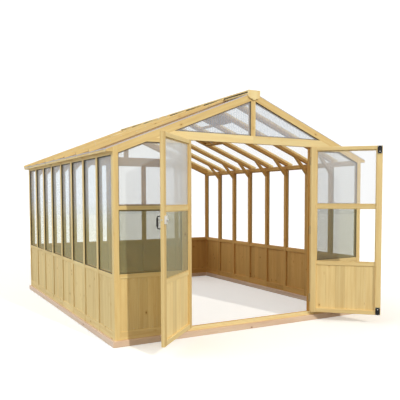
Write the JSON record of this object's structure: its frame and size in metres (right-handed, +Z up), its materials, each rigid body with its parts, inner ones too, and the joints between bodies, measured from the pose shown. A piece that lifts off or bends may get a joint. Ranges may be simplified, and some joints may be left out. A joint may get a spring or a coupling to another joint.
{
  "type": "greenhouse",
  "caption": "Walk-in timber greenhouse with boarded lower walls, twin-wall glazing, ridged roof with two hinged vents and twin hinged doors.",
  "frame": {"origin": "middle of the doorway, in the plane of the front wall's outer face, on the underside of the base", "axes": "+X to the right seen from the front, +Y from the front wall to the back wall, +Z up"},
  "size_m": [3.1446, 4.3881, 2.4626],
  "materials": {
    "timber": "planed softwood with a clear stain",
    "base_timber": "planed pressure-treated softwood",
    "glazing": "clear twin-wall sheet",
    "black_steel": "satin powder coat",
    "zinc_steel": "bright zinc plate"
  },
  "bodies": {
    "house": {"base_beams": "base_timber", "corner_posts": "timber", "wall_posts": "timber", "side_bottom_rails": "timber", "side_boards": "timber", "side_sill_rails": "timber", "side_panes": "glazing", "wall_plates": "timber", "eave_fascias": "timber", "threshold": "timber", "front_rails": "timber", "front_boards": "timber", "door_jambs": "timber", "door_stops": "timber", "front_panes": "glazing", "front_tie_beam": "timber", "back_tie_beam": "timber", "gable_rafters": "timber", "king_posts": "timber", "gable_panes": "glazing", "back_rails": "timber", "back_boards": "timber", "back_panes": "glazing", "ridge_beam": "timber", "ridge_cap": "timber", "finials": "timber", "inner_rafters": "timber", "knee_braces": "timber", "roof_sheets": "glazing", "battens": "timber", "vent_trimmers": "timber", "ridge_infill": "timber", "jamb_hinges": "black_steel", "hinge_pins": "zinc_steel", "vent_fixed_fittings": "zinc_steel"},
    "left_door": {"left_door_stiles": "timber", "left_door_rails": "timber", "left_door_boards": "timber", "left_door_panes": "glazing", "left_door_hinges": "black_steel", "pull_handle": "black_steel", "latch_case": "zinc_steel"},
    "latch_knob": {"latch_knob": "zinc_steel"},
    "latch_bolt": {"latch_bolt": "zinc_steel"},
    "right_door": {"right_door_stiles": "timber", "right_door_rails": "timber", "right_door_boards": "timber", "right_door_panes": "glazing", "right_door_hinges": "black_steel", "bolt_plates": "black_steel"},
    "top_bolt": {"top_bolt": "black_steel"},
    "bottom_bolt": {"bottom_bolt": "black_steel"},
    "left_vent": {"left_vent_frame": "timber", "left_vent_pane": "glazing", "left_vent_fittings": "zinc_steel"},
    "left_stay": {"left_vent_stay": "zinc_steel"},
    "right_vent": {"right_vent_frame": "timber", "right_vent_pane": "glazing", "right_vent_fittings": "zinc_steel"},
    "right_stay": {"right_vent_stay": "zinc_steel"}
  },
  "joints": [
    {"name": "left_door_swing", "type": "hinge", "parent": "house", "child": "left_door", "pos_m": [-0.7585, -0.008, 1], "axis": [0, 0, 1], "range_deg": [-35, 134.5]},
    {"name": "right_door_swing", "type": "hinge", "parent": "house", "child": "right_door", "pos_m": [0.7585, -0.008, 1], "axis": [0, 0, 1], "range_deg": [-134.5, 35]},
    {"name": "latch_knob_turn", "type": "hinge", "parent": "left_door", "child": "latch_knob", "pos_m": [-1.24024, -0.55387, 1.18], "axis": [0.7133, -0.7009, 0], "range_deg": [0, 60], "stiffness_Nm_per_rad": 0.1},
    {"name": "latch_bolt_slide", "type": "slide", "parent": "left_door", "child": "latch_bolt", "axis": [-0.7009, -0.7133, 0], "range_m": [-0.0091, 0]},
    {"name": "top_bolt_slide", "type": "slide", "parent": "right_door", "child": "top_bolt", "axis": [0, 0, 1], "range_m": [0, 0.02]},
    {"name": "bottom_bolt_slide", "type": "slide", "parent": "right_door", "child": "bottom_bolt", "axis": [0, 0, -1], "range_m": [0, 0.02]},
    {"name": "left_vent_lift", "type": "hinge", "parent": "house", "child": "left_vent", "pos_m": [-0.078, 2.1275, 2.44982], "axis": [0, 1, 0], "range_deg": [0, 45]},
    {"name": "right_vent_lift", "type": "hinge", "parent": "house", "child": "right_vent", "pos_m": [0.078, 2.1275, 2.44982], "axis": [0, -1, 0], "range_deg": [0, 45]},
    {"name": "left_stay_swing", "type": "hinge", "parent": "left_vent", "child": "left_stay", "pos_m": [-0.67688, 2.1275, 2.14962], "axis": [0, 1, 0], "range_deg": [0, 80]},
    {"name": "right_stay_swing", "type": "hinge", "parent": "right_vent", "child": "right_stay", "pos_m": [0.67688, 2.1275, 2.14962], "axis": [0, -1, 0], "range_deg": [0, 80]}
  ],
  "couplings": [
    {"joint": "latch_bolt_slide", "follows": "latch_knob_turn", "m_per_rad": -0.0085944}
  ]
}
